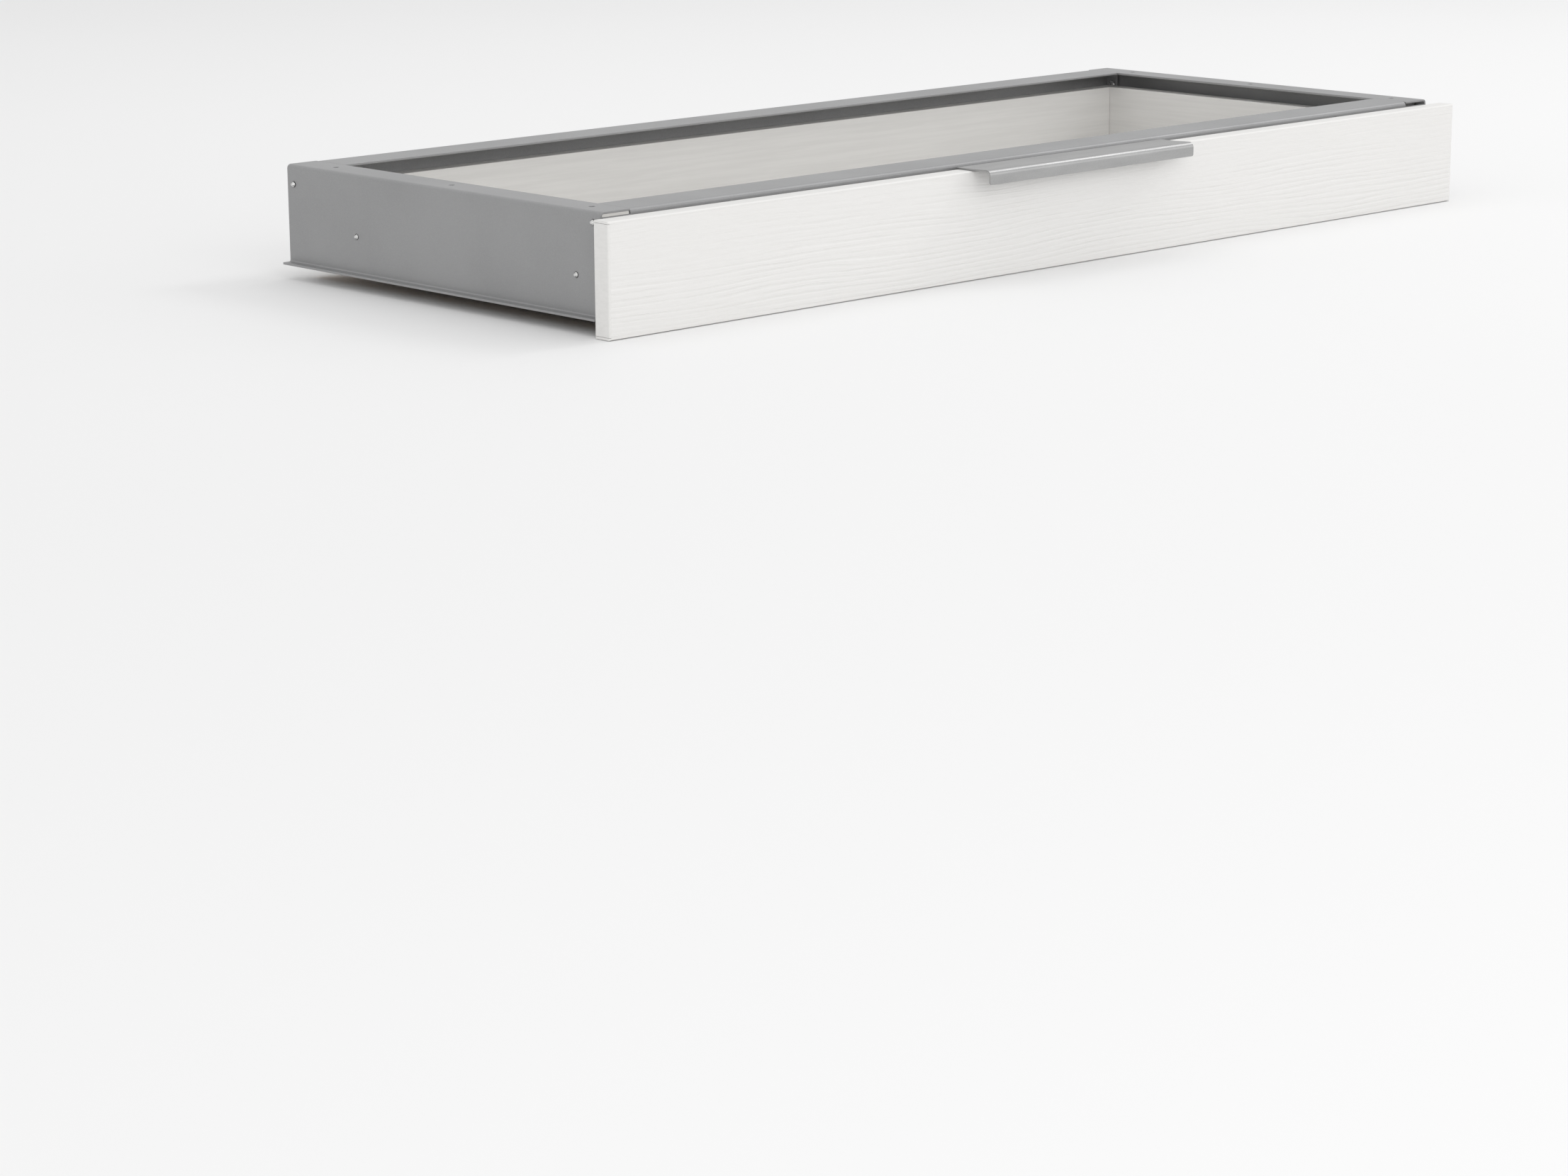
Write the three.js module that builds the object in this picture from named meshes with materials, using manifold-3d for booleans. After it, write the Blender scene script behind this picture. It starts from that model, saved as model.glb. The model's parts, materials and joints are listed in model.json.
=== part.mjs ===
// Under-desk drawer: a wide, shallow drawer that hangs beneath a desktop between the desk's legs.
// Millimetres, +Z up, the drawer opens towards -Y. The origin is the middle of the front cross
// rail's top face, which lies against the underside of the desktop (Z = 0).
import * as THREE from 'three';
import { mergeVertices } from 'three/addons/utils/BufferGeometryUtils.js';
import Module from 'manifold-3d';

const wasm = await Module();
wasm.setup();

// ---------- driving dimensions ----------

const FIT = 0.25; // gap between pieces that are screwed, glued or slid together

// drawer front: a board with a band on each of its four edges, rounded over all round
const FRONT_WIDTH = 1110;
const FRONT_TOP = -4; // shadow gap below the desktop
const FRONT_HEIGHT = 96;
const FRONT_THICKNESS = 18;
const FRONT_FACE_Y = -44;
const BAND = 2; // thickness of an edge band
const FRONT_ROUND = 1.5; // radius along the front's edges and at its corners

// edge pull: one bent sheet over the top edge of the front
const PULL_LENGTH = 270;
const PULL_SHEET = 1.5;
const PULL_REACH = 21.5; // from the front's face to the lip's outer face
const PULL_DROP = 12; // from the top of the sheet, over the front, to the lower edges of lip and leg
const PULL_RISE = 1; // by which the sheet climbs from the front's face to the lip
const PULL_BENDS = [1.25, 20, 4.25]; // centre-line radii: over the leg, at the front's face, at the lip
const PULL_CORNER = 2;
const PULL_SCREW_SPACING = 100;

// drawer box: boards round a thin bottom panel
const BOARD = 15;
const BOX_DEPTH = 410;
const BOX_TOP = -16;
const BOX_BOTTOM = -92;
const PANEL_THICKNESS = 3;
const PANEL_TOP = -81;
const GROOVE_DEPTH = 8; // in the sides
const FRONT_GROOVE_DEPTH = 6; // in the box's front board
const BOTTOM_RAIL_WIDTH = 24;
const BOTTOM_RAIL_SHEET = 1.5;
const BOTTOM_RAIL_BEND = 1.5;

// steel carrier that is screwed up into the desktop
const SHEET = 2;
const HANGER_INNER = 540; // half the width between the two hanger webs
const HANGER_FLANGE = 30;
const HANGER_LIP = 8;
const HANGER_BOTTOM = -88;
const CARRIER_FRONT_Y = -20;
const CARRIER_BACK_Y = 398;
const SHEET_BEND = 2.5; // centre-line radius of the folds
const RAIL_WIDTH = 40;
const FRONT_RAIL_DROP = 13;
const REAR_RAIL_DROP = 30;
const RAIL_TAB = 16;
const DESK_HOLE_RADIUS = 2.75;
const DESK_HOLE_Y = [10, 190, 350];
const BUMPER_X = 400;
const BUMPER_RADIUS = 4;

// telescopic ball slides, 45 high and 12.7 wide, in three members with two ball retainers a side.
// Across the slide, u runs from the hanger's web towards the drawer and v up from the slide's axis.
const SLIDE_Z = -54;
const SLIDE_FRONT_Y = -19;
const SLIDE_LENGTH = 400;
const SLIDE_WIDTH = 12.7;
const MEMBER_SHEET = 1.2;
const MEMBER_BEND = 1.2;
const MOVING_LENGTH = 394;
const RETAINER_SHEET = 0.7;
const RETAINER_LENGTH = 176;
const RETAINER_FRONT_Y = 90;
const BALL_SPACING = 20;
const BALLS_PER_ROW = 8;
const BALL_ROW_U = 8.5;
const BALL_WINDOW = 4.1; // for balls of 4
const SIDE_SCREW_Y = [30, 320]; // along each slide, for the screws in both of its fixed faces
const SCREW_ACCESS_RADIUS = 6; // hole in the middle member for reaching the hanger's screws
const BUFFER_HEIGHT = 42;
const BUFFER_DEPTH = 5;
const BUFFER_U = [1.5, 10.5];
const LEVER_PIVOT_Y = 128;
const LEVER_U = 8.2;
const LEVER_LENGTH = 56;
const LEVER_SHEET = 2.6;
const LEVER_HALF_WIDTH = 2.5;
const LEVER_PAD_RADIUS = 4;
const LEVER_STUB_RADIUS = 2;

// ---------- materials ----------

function material(color, roughness, metalness) {
  return () => new THREE.MeshStandardMaterial({ color, roughness, metalness });
}

const frontDecor = material(0xe9e7e3, 0.6, 0);
const bandDecor = material(0xeeece9, 0.55, 0);
const boxBoard = material(0xe4e2de, 0.55, 0);
const thinPanel = material(0xdedcd7, 0.6, 0);
const satinMetal = material(0x9a9b9c, 0.45, 1);
const paintedSteel = material(0x97989a, 0.45, 0.3);
const zincSteel = material(0xb9bcc0, 0.3, 1);
const retainerSteel = material(0xa3a6a9, 0.35, 1);
const screwSteel = material(0xc4c6c8, 0.28, 1);
const blackPlastic = material(0x1d1e1f, 0.5, 0);
const greyRubber = material(0x8b8c8c, 0.85, 0);

// ---------- geometry helpers ----------

const X_AXIS = new THREE.Vector3(1, 0, 0);
const Y_AXIS = new THREE.Vector3(0, 1, 0);
const Z_AXIS = new THREE.Vector3(0, 0, 1);

// A box from its lowest and highest corners.
function block(low, high) {
  const size = high.map((value, i) => value - low[i]);
  const centre = high.map((value, i) => (value + low[i]) / 2);
  return new THREE.BoxGeometry(...size).translate(...centre);
}

// A shape drawn in (x, z), extruded along Y from y0 to y1.
function extrudeAlongY(shape, y0, y1) {
  const solid = new THREE.ExtrudeGeometry(shape, { depth: y1 - y0, bevelEnabled: false });
  solid.applyMatrix4(new THREE.Matrix4().makeBasis(X_AXIS, Z_AXIS, Y_AXIS.clone().negate()));
  return solid.translate(0, y1, 0);
}

// A shape drawn in (y, z), extruded along X from x0 to x1.
function extrudeAlongX(shape, x0, x1) {
  const solid = new THREE.ExtrudeGeometry(shape, { depth: x1 - x0, bevelEnabled: false });
  solid.applyMatrix4(new THREE.Matrix4().makeBasis(Y_AXIS, Z_AXIS, X_AXIS));
  return solid.translate(x0, 0, 0);
}

// The section of a folded sheet: a centre line of straight runs, rounded at each fold.
// `bendRadii` is one radius for every fold, or a list with one for each.
function foldedSheet(centreLine, thickness, bendRadii, bendSteps = 3) {
  const points = centreLine.map(([a, b]) => new THREE.Vector2(a, b));
  const left = [];
  const right = [];
  const emit = (point, normal) => {
    left.push(point.clone().addScaledVector(normal, thickness / 2));
    right.push(point.clone().addScaledVector(normal, -thickness / 2));
  };
  const direction = (i) => points[i + 1].clone().sub(points[i]).normalize();
  const normalOf = (d) => new THREE.Vector2(-d.y, d.x);
  emit(points[0], normalOf(direction(0)));
  for (let i = 1; i < points.length - 1; i += 1) {
    const before = direction(i - 1);
    const after = direction(i);
    const turn = Math.atan2(before.cross(after), before.dot(after));
    const hand = Math.sign(turn);
    const bendRadius = Array.isArray(bendRadii) ? bendRadii[i - 1] : bendRadii;
    const setback = bendRadius * Math.tan(Math.abs(turn) / 2);
    const start = points[i].clone().addScaledVector(before, -setback);
    const centre = start.addScaledVector(normalOf(before), hand * bendRadius);
    for (let k = 0; k <= bendSteps; k += 1) {
      const normal = normalOf(before).rotateAround(new THREE.Vector2(), (turn * k) / bendSteps);
      emit(centre.clone().addScaledVector(normal, -hand * bendRadius), normal);
    }
  }
  emit(points.at(-1), normalOf(direction(points.length - 2)));
  return new THREE.Shape([...left, ...right.reverse()]);
}

// The X direction towards the middle of the unit from one side of it.
function inwardsFrom(side) {
  return X_AXIS.clone().multiplyScalar(-side);
}

function sorted(a, b) {
  return a < b ? [a, b] : [b, a];
}

// A round bar from `from`, along the unit vector `along`.
function bar(from, along, radius, length, sides = 12) {
  const solid = new THREE.CylinderGeometry(radius, radius, length, sides);
  solid.translate(0, length / 2, 0);
  solid.applyQuaternion(new THREE.Quaternion().setFromUnitVectors(Y_AXIS, along));
  return solid.translate(...from);
}

function toManifold(geometry) {
  const bare = geometry.clone();
  bare.deleteAttribute('normal');
  bare.deleteAttribute('uv');
  const merged = mergeVertices(bare, 1e-5);
  return new wasm.Manifold(new wasm.Mesh({
    numProp: 3,
    vertProperties: new Float32Array(merged.attributes.position.array),
    triVerts: new Uint32Array(merged.index.array),
  }));
}

function fromManifold(solid) {
  const mesh = solid.getMesh();
  const geometry = new THREE.BufferGeometry();
  geometry.setAttribute('position', new THREE.BufferAttribute(mesh.vertProperties, 3));
  geometry.setIndex(new THREE.BufferAttribute(mesh.triVerts, 1));
  geometry.computeVertexNormals();
  return geometry;
}

function cut(geometry, tools) {
  const body = toManifold(geometry);
  return fromManifold(tools.reduce((solid, tool) => solid.subtract(toManifold(tool)), body));
}

function join(geometries) {
  return fromManifold(geometries.map(toManifold).reduce((solid, other) => solid.add(other)));
}

function common(geometry, other) {
  return fromManifold(toManifold(geometry).intersect(toManifold(other)));
}

// ---------- assembly helpers ----------

const drawerUnit = new THREE.Group();
const SIDES = [['left', -1], ['right', 1]];

function add(group, name, geometry, makeMaterial, position = [0, 0, 0]) {
  const mesh = new THREE.Mesh(geometry, makeMaterial());
  mesh.name = name;
  mesh.position.set(...position);
  group.add(mesh);
  return mesh;
}

// Screws are turned solids. The origin is under the head; the head points along `outward`.
function addScrew(group, name, section, origin, outward, makeMaterial = screwSteel) {
  const profile = section.map(([radius, height]) => new THREE.Vector2(radius, height));
  const mesh = add(group, name, new THREE.LatheGeometry(profile, 12), makeMaterial, origin);
  mesh.quaternion.setFromUnitVectors(Y_AXIS, outward);
}

function panHeadSection({ head, headHeight, shank, length }) {
  return [
    [0, -length],
    [shank / 2, -length],
    [shank, -length + shank],
    [shank, 0],
    [head, 0],
    [head, headHeight * 0.55],
    [head * 0.6, headHeight],
    [0, headHeight],
  ];
}

// A flush head: its top is at height 0 and its cone goes down to the shank.
function flushHeadSection({ head, headHeight, shank, length }) {
  return [
    [0, -length],
    [shank / 2, -length],
    [shank, -length + shank],
    [shank, -headHeight],
    [head, -headHeight * 0.2],
    [head, 0],
    [0, 0],
  ];
}

// ---------- carrier ----------

// Screws: radii of head and shank, the head's height and the shank's length.
const RAIL_SCREW = { head: 4.25, headHeight: 2.6, shank: 2.4, length: 7 };
const HANGER_SCREW = { head: 4.4, headHeight: 1.45, shank: 2.4, length: 5.5 };
const TAB_HOLE = 9; // from the outer face of a cross rail's leg to the hole in its tab
const FRONT_TAB = { y: CARRIER_FRONT_Y + TAB_HOLE, z: -9 };
const REAR_TAB = { y: CARRIER_BACK_Y - TAB_HOLE, z: -17 };

function hangerGeometry(side) {
  const web = side * (HANGER_INNER + SHEET / 2);
  const section = foldedSheet([
    [side * (HANGER_INNER - HANGER_FLANGE), -SHEET / 2],
    [web, -SHEET / 2],
    [web, HANGER_BOTTOM + SHEET / 2],
    [web + side * (SHEET / 2 + HANGER_LIP), HANGER_BOTTOM + SHEET / 2],
  ], SHEET, SHEET_BEND);
  const webOutside = side * (HANGER_INNER + 2 * SHEET);
  const webHole = ({ y, z }) =>
    bar([webOutside, y, z], inwardsFrom(side), RAIL_SCREW.shank + FIT, 3 * SHEET);
  const flangeX = side * (HANGER_INNER - HANGER_FLANGE / 2);
  const deskHoles = DESK_HOLE_Y.map((y) =>
    bar([flangeX, y, -2 * SHEET], Z_AXIS, DESK_HOLE_RADIUS, 3 * SHEET));
  return cut(extrudeAlongY(section, CARRIER_FRONT_Y, CARRIER_BACK_Y), [
    ...deskHoles,
    webHole(FRONT_TAB),
    webHole(REAR_TAB),
    ...SIDE_SCREW_Y.map((y) => webHole({ y: SLIDE_FRONT_Y + y, z: SLIDE_Z })),
  ]);
}

// An angle rail: a flange against the desktop, a leg that hangs down and, at each end of the leg,
// a tab folded to lie on a hanger's web. `legY` is the leg's outer face.
function crossRailGeometry(legY, inward, drop, tab) {
  const flangeHalf = HANGER_INNER - HANGER_FLANGE - FIT;
  const reach = HANGER_INNER - FIT;
  const legMiddle = legY + (inward * SHEET) / 2;
  const section = foldedSheet([
    [legY + inward * RAIL_WIDTH, -SHEET / 2],
    [legMiddle, -SHEET / 2],
    [legMiddle, -drop],
  ], SHEET, SHEET_BEND);
  const tabTop = -SHEET - FIT - SHEET_BEND;
  const [legY0, legY1] = sorted(legY, legY + inward * SHEET);
  const [tabY0, tabY1] = sorted(legY, legY + inward * RAIL_TAB);
  const ends = SIDES.flatMap(([, side]) => {
    const [legX0, legX1] = sorted(side * (flangeHalf - 3 * SHEET), side * reach);
    const [tabX0, tabX1] = sorted(side * (reach - SHEET), side * reach);
    return [
      block([legX0, legY0, -drop], [legX1, legY1, tabTop]),
      block([tabX0, tabY0, -drop], [tabX1, tabY1, tabTop]),
    ];
  });
  const tabHoles = SIDES.map(([, side]) =>
    bar([side * (reach + SHEET), tab.y, tab.z], inwardsFrom(side), RAIL_SCREW.shank + FIT, 3 * SHEET));
  return cut(join([extrudeAlongX(section, -flangeHalf, flangeHalf), ...ends]), tabHoles);
}

function buildCarrier() {
  const carrier = new THREE.Group();
  const frontRail = crossRailGeometry(CARRIER_FRONT_Y, 1, FRONT_RAIL_DROP, FRONT_TAB);
  const rearRail = crossRailGeometry(CARRIER_BACK_Y, -1, REAR_RAIL_DROP, REAR_TAB);
  add(carrier, 'cross_rail_front', frontRail, paintedSteel);
  add(carrier, 'cross_rail_rear', rearRail, paintedSteel);
  const screw = panHeadSection(RAIL_SCREW);
  for (const [name, side] of SIDES) {
    const headX = side * (HANGER_INNER - SHEET - 2 * FIT);
    add(carrier, `hanger_${name}`, hangerGeometry(side), paintedSteel);
    for (const [place, tab] of [['front', FRONT_TAB], ['rear', REAR_TAB]]) {
      addScrew(carrier, `rail_screw_${place}_${name}`, screw, [headX, tab.y, tab.z], inwardsFrom(side));
    }
    addFrontBumper(carrier, name, side);
  }
  return carrier;
}

// A soft stop on the front rail's leg that the drawer front closes against.
function addFrontBumper(carrier, name, side) {
  const length = CARRIER_FRONT_Y - (FRONT_FACE_Y + FRONT_THICKNESS) - 2 * FIT;
  const chamfer = 1;
  const section = [
    [0, 0],
    [BUMPER_RADIUS, 0],
    [BUMPER_RADIUS, length - chamfer],
    [BUMPER_RADIUS - chamfer, length],
    [0, length],
  ];
  const origin = [side * BUMPER_X, CARRIER_FRONT_Y - FIT, -FRONT_RAIL_DROP + BUMPER_RADIUS + FIT];
  addScrew(carrier, `front_bumper_${name}`, section, origin, Y_AXIS.clone().negate(), greyRubber);
}

// ---------- telescopic slides ----------

const MEMBER_SCREW = { head: 3.6, headHeight: 1.9, shank: 2.4, length: 13 };
const SLIDE_SCREW_Y = SIDE_SCREW_Y.map((y) => SLIDE_FRONT_Y + y);

// Turns slide coordinates (u, v) into (x, z).
function slidePoints(side, points) {
  return points.map(([u, v]) => [side * (HANGER_INNER - FIT - u), SLIDE_Z + v]);
}

// A member's section is symmetric about v = 0: `upper` is its upper half, from free edge to web.
function channel(side, upper, thickness, bend) {
  const lower = upper.map(([u, v]) => [u, -v]).reverse();
  return foldedSheet(slidePoints(side, [...upper, ...lower]), thickness, bend, 2);
}

const MEMBER_WEB_U = { outer: 0.6, middle: 4.8, inner: 12.1 };
const SECTION = {
  outer: [[11.4, 20.3], [11.4, 22.25], [MEMBER_WEB_U.outer, 22.25]],
  retainerOuter: [[11.2, 19.525], [3.55, 19.525]],
  middle: [[11.0, 16.8], [MEMBER_WEB_U.middle, 16.8]],
  retainerInner: [[11.1, 14.1], [6.15, 14.1]],
  inner: [[6.9, 11.4], [MEMBER_WEB_U.inner, 11.4]],
};
const DRILL_REACH = 2 * MEMBER_SHEET;

// A bar along X on the slide's axis that drills the web at `u`.
function drill(side, y, radius, u) {
  const [[x, z]] = slidePoints(side, [[u - DRILL_REACH / 2, 0]]);
  return bar([x, y, z], inwardsFrom(side), radius, DRILL_REACH);
}

function memberGeometry(side, section, length, holes) {
  const solid = extrudeAlongY(channel(side, section, MEMBER_SHEET, MEMBER_BEND),
    SLIDE_FRONT_Y, SLIDE_FRONT_Y + length);
  return cut(solid, holes);
}

// A ball retainer: a thin channel with a window for each ball in its upper and lower flange.
function retainerGeometry(side, section) {
  const strip = extrudeAlongY(channel(side, section, RETAINER_SHEET, RETAINER_SHEET),
    RETAINER_FRONT_Y, RETAINER_FRONT_Y + RETAINER_LENGTH);
  const flangeV = section[0][1];
  const [[rowX]] = slidePoints(side, [[BALL_ROW_U, 0]]);
  const firstY = RETAINER_FRONT_Y + (RETAINER_LENGTH - (BALLS_PER_ROW - 1) * BALL_SPACING) / 2;
  const half = BALL_WINDOW / 2;
  const windows = [];
  for (let i = 0; i < BALLS_PER_ROW; i += 1) {
    const y = firstY + i * BALL_SPACING;
    for (const v of [-flangeV, flangeV]) {
      const z = SLIDE_Z + v;
      windows.push(block([rowX - half, y - half, z - 1], [rowX + half, y + half, z + 1]));
    }
  }
  return cut(strip, windows);
}

// The release lever swings on a stub in the inner member; its finger pad is at the front.
function leverGeometry(side) {
  const padY = -LEVER_LENGTH / 2 + LEVER_PAD_RADIUS;
  const neckY = padY + 10;
  const tailY = LEVER_LENGTH / 2 - LEVER_HALF_WIDTH;
  const outline = new THREE.Shape();
  outline.moveTo(padY, -LEVER_PAD_RADIUS);
  outline.lineTo(neckY, -LEVER_HALF_WIDTH);
  outline.lineTo(tailY, -LEVER_HALF_WIDTH);
  outline.absarc(tailY, 0, LEVER_HALF_WIDTH, -Math.PI / 2, Math.PI / 2, false);
  outline.lineTo(neckY, LEVER_HALF_WIDTH);
  outline.lineTo(padY, LEVER_PAD_RADIUS);
  outline.absarc(padY, 0, LEVER_PAD_RADIUS, Math.PI / 2, (3 * Math.PI) / 2, false);
  const plate = new THREE.ExtrudeGeometry(outline, {
    depth: LEVER_SHEET,
    bevelEnabled: false,
    curveSegments: 6,
  });
  plate.applyMatrix4(new THREE.Matrix4().makeBasis(Y_AXIS, Z_AXIS, X_AXIS));
  plate.translate(side > 0 ? -LEVER_SHEET : 0, 0, 0);
  const stub = bar([-side, 0, 0], inwardsFrom(side), LEVER_STUB_RADIUS, LEVER_SHEET + 0.3);
  return join([plate, stub]);
}

// The three members of one slide and the retainers between them.
function addMembers(slide, name, side) {
  const screwHole = MEMBER_SCREW.shank + FIT;
  const holes = (radius, u) => SLIDE_SCREW_Y.map((y) => drill(side, y, radius, u));
  const leverHole = drill(side, LEVER_PIVOT_Y, LEVER_STUB_RADIUS + 0.3, MEMBER_WEB_U.inner);
  const outer = memberGeometry(side, SECTION.outer, SLIDE_LENGTH, holes(screwHole, MEMBER_WEB_U.outer));
  const middle = memberGeometry(side, SECTION.middle, MOVING_LENGTH,
    holes(SCREW_ACCESS_RADIUS, MEMBER_WEB_U.middle));
  const inner = memberGeometry(side, SECTION.inner, MOVING_LENGTH,
    [...holes(screwHole, MEMBER_WEB_U.inner), leverHole]);
  add(slide, `slide_outer_${name}`, outer, zincSteel);
  add(slide, `slide_middle_${name}`, middle, zincSteel);
  add(slide, `slide_inner_${name}`, inner, zincSteel);
  add(slide, `ball_retainer_outer_${name}`, retainerGeometry(side, SECTION.retainerOuter), retainerSteel);
  add(slide, `ball_retainer_inner_${name}`, retainerGeometry(side, SECTION.retainerInner), retainerSteel);
}

// The screws that hold the outer member to the hanger and the inner member to the drawer's side.
function addMemberScrews(slide, name, side) {
  const [[outerX], [innerX]] = slidePoints(side, [
    [MEMBER_SHEET + FIT, 0],
    [SLIDE_WIDTH - MEMBER_SHEET - FIT, 0],
  ]);
  const toHanger = panHeadSection(HANGER_SCREW);
  const toDrawer = panHeadSection(MEMBER_SCREW);
  SLIDE_SCREW_Y.forEach((y, i) => {
    const place = ['front', 'rear'][i];
    addScrew(slide, `slide_outer_screw_${place}_${name}`, toHanger, [outerX, y, SLIDE_Z],
      inwardsFrom(side));
    addScrew(slide, `slide_inner_screw_${place}_${name}`, toDrawer, [innerX, y, SLIDE_Z],
      inwardsFrom(-side));
  });
}

function buildSlide(name, side) {
  const slide = new THREE.Group();
  addMembers(slide, name, side);
  addMemberScrews(slide, name, side);
  const bufferBack = SLIDE_FRONT_Y + SLIDE_LENGTH - 0.5;
  const [bufferX0, bufferX1] = sorted(...slidePoints(side, BUFFER_U.map((u) => [u, 0])).map(([x]) => x));
  add(slide, `rear_buffer_${name}`, block(
    [bufferX0, bufferBack - BUFFER_DEPTH, SLIDE_Z - BUFFER_HEIGHT / 2],
    [bufferX1, bufferBack, SLIDE_Z + BUFFER_HEIGHT / 2]), blackPlastic);
  const [[leverX]] = slidePoints(side, [[LEVER_U, 0]]);
  add(slide, `release_lever_${name}`, leverGeometry(side), blackPlastic, [leverX, LEVER_PIVOT_Y, SLIDE_Z]);
  return slide;
}

// ---------- drawer front and edge pull ----------

const FRONT_BACK_Y = FRONT_FACE_Y + FRONT_THICKNESS;
const FRONT_SCREW_X = [-420, -150, 150, 420];
const FRONT_SCREW = { head: 4, headHeight: 2.2, shank: 2, length: 26 };
const PULL_SCREW = { head: 3.2, headHeight: 1.9, shank: 1.5, length: 13 };
const PULL_SCREW_Z = FRONT_TOP - 6;
const FRONT_PILOT_DEPTH = 13; // of the screw holes in the front's rear face
const PULL_SCREW_X = [-1, 0, 1].map((i) => i * PULL_SCREW_SPACING);

// The whole front, core and bands together, with its edges and corners rounded.
function frontEnvelope() {
  const half = FRONT_WIDTH / 2 - FRONT_ROUND;
  const top = FRONT_TOP - FRONT_ROUND;
  const bottom = FRONT_TOP - FRONT_HEIGHT + FRONT_ROUND;
  const outline = new THREE.Shape();
  outline.moveTo(-half, bottom);
  outline.lineTo(half, bottom);
  outline.lineTo(half, top);
  outline.lineTo(-half, top);
  const solid = new THREE.ExtrudeGeometry(outline, {
    depth: FRONT_THICKNESS - 2 * FRONT_ROUND,
    bevelThickness: FRONT_ROUND,
    bevelSize: FRONT_ROUND,
    bevelSegments: 4,
  });
  solid.applyMatrix4(new THREE.Matrix4().makeBasis(X_AXIS, Z_AXIS, Y_AXIS.clone().negate()));
  return solid.translate(0, FRONT_BACK_Y - FRONT_ROUND, 0);
}

function addFront(drawer) {
  const half = FRONT_WIDTH / 2;
  const bottom = FRONT_TOP - FRONT_HEIGHT;
  const inset = BAND + FIT;
  const core = block(
    [-half + inset, FRONT_FACE_Y, bottom + inset],
    [half - inset, FRONT_BACK_Y, FRONT_TOP - inset]);
  const pilots = (xs, z, radius) => xs.map((x) =>
    bar([x, FRONT_BACK_Y + 1, z], Y_AXIS.clone().negate(), radius + FIT, FRONT_PILOT_DEPTH + 1));
  add(drawer, 'drawer_front', cut(core, [
    ...pilots(FRONT_SCREW_X, SLIDE_Z, FRONT_SCREW.shank),
    ...pilots(PULL_SCREW_X, PULL_SCREW_Z, PULL_SCREW.shank),
  ]), frontDecor);
  const envelope = frontEnvelope();
  const band = (name, low, high) => add(drawer, `edge_band_${name}`, common(envelope,
    block([low[0], FRONT_FACE_Y - 1, low[1]], [high[0], FRONT_BACK_Y + 1, high[1]])), bandDecor);
  band('top', [-half - 1, FRONT_TOP - BAND], [half + 1, FRONT_TOP + 1]);
  band('bottom', [-half - 1, bottom - 1], [half + 1, bottom + BAND]);
  band('left', [-half - 1, bottom + inset], [-half + BAND, FRONT_TOP - inset]);
  band('right', [half - BAND, bottom + inset], [half + 1, FRONT_TOP - inset]);
}

function addPull(drawer) {
  const half = PULL_LENGTH / 2;
  const middleZ = FRONT_TOP + FIT + PULL_SHEET / 2;
  const lowerEdge = middleZ + PULL_SHEET / 2 - PULL_DROP;
  const legY = FRONT_BACK_Y + FIT + PULL_SHEET / 2;
  const lipY = FRONT_FACE_Y - PULL_REACH + PULL_SHEET / 2;
  const section = foldedSheet([
    [legY, lowerEdge],
    [legY, middleZ],
    [FRONT_FACE_Y, middleZ],
    [lipY, middleZ + PULL_RISE],
    [lipY, lowerEdge],
  ], PULL_SHEET, PULL_BENDS, 8);
  const rounded = common(extrudeAlongX(section, -half, half), pullOutline(half, lowerEdge));
  const holes = PULL_SCREW_X.map((x) =>
    bar([x, legY - 2 * PULL_SHEET, PULL_SCREW_Z], Y_AXIS, PULL_SCREW.shank + FIT, 4 * PULL_SHEET));
  add(drawer, 'edge_pull', cut(rounded, holes), satinMetal);
  const screw = panHeadSection(PULL_SCREW);
  PULL_SCREW_X.forEach((x, i) => addScrew(drawer, `pull_screw_${['left', 'middle', 'right'][i]}`, screw,
    [x, legY + PULL_SHEET / 2 + FIT, PULL_SCREW_Z], Y_AXIS));
}

// The pull seen from the front: a rectangle whose two lower corners are rounded.
function pullOutline(half, lowerEdge) {
  const cornerX = half - PULL_CORNER;
  const cornerZ = lowerEdge + PULL_CORNER;
  const outline = new THREE.Shape();
  outline.moveTo(-half, 0);
  outline.lineTo(-half, cornerZ);
  outline.absarc(-cornerX, cornerZ, PULL_CORNER, Math.PI, 1.5 * Math.PI, false);
  outline.absarc(cornerX, cornerZ, PULL_CORNER, 1.5 * Math.PI, 2 * Math.PI, false);
  outline.lineTo(half, 0);
  const depth = 3 * FRONT_THICKNESS;
  const prism = new THREE.ExtrudeGeometry(outline, { depth, bevelEnabled: false, curveSegments: 4 });
  prism.applyMatrix4(new THREE.Matrix4().makeBasis(X_AXIS, Z_AXIS, Y_AXIS.clone().negate()));
  return prism.translate(0, FRONT_BACK_Y + FRONT_THICKNESS / 2, 0);
}

// ---------- drawer box ----------

const BOX_HALF = HANGER_INNER - FIT - SLIDE_WIDTH - FIT; // outer face of a drawer side
const BOX_INSIDE = BOX_HALF - BOARD;
const CROSS_HALF = BOX_INSIDE - FIT; // half the length of the front and back boards
const BOX_FRONT_Y = FRONT_BACK_Y + FIT;
const BOX_FRONT_INNER_Y = BOX_FRONT_Y + BOARD;
const BOX_BACK_Y = BOX_FRONT_Y + BOX_DEPTH;
const CORNER_SCREW = { head: 4.75, headHeight: 3, shank: 2.5, length: 48 };
const CORNER_SCREW_Z = { upper: -28, lower: -72 };
const CORNER_SCREW_Y = { front: BOX_FRONT_Y + BOARD / 2, back: BOX_BACK_Y - BOARD / 2 };
const PANEL_BOTTOM = PANEL_TOP - PANEL_THICKNESS;
const RAIL_POCKET = 8;
const SIDE_PILOT_DEPTH = 13; // of the screw holes for the slide in a side's outer face

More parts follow.
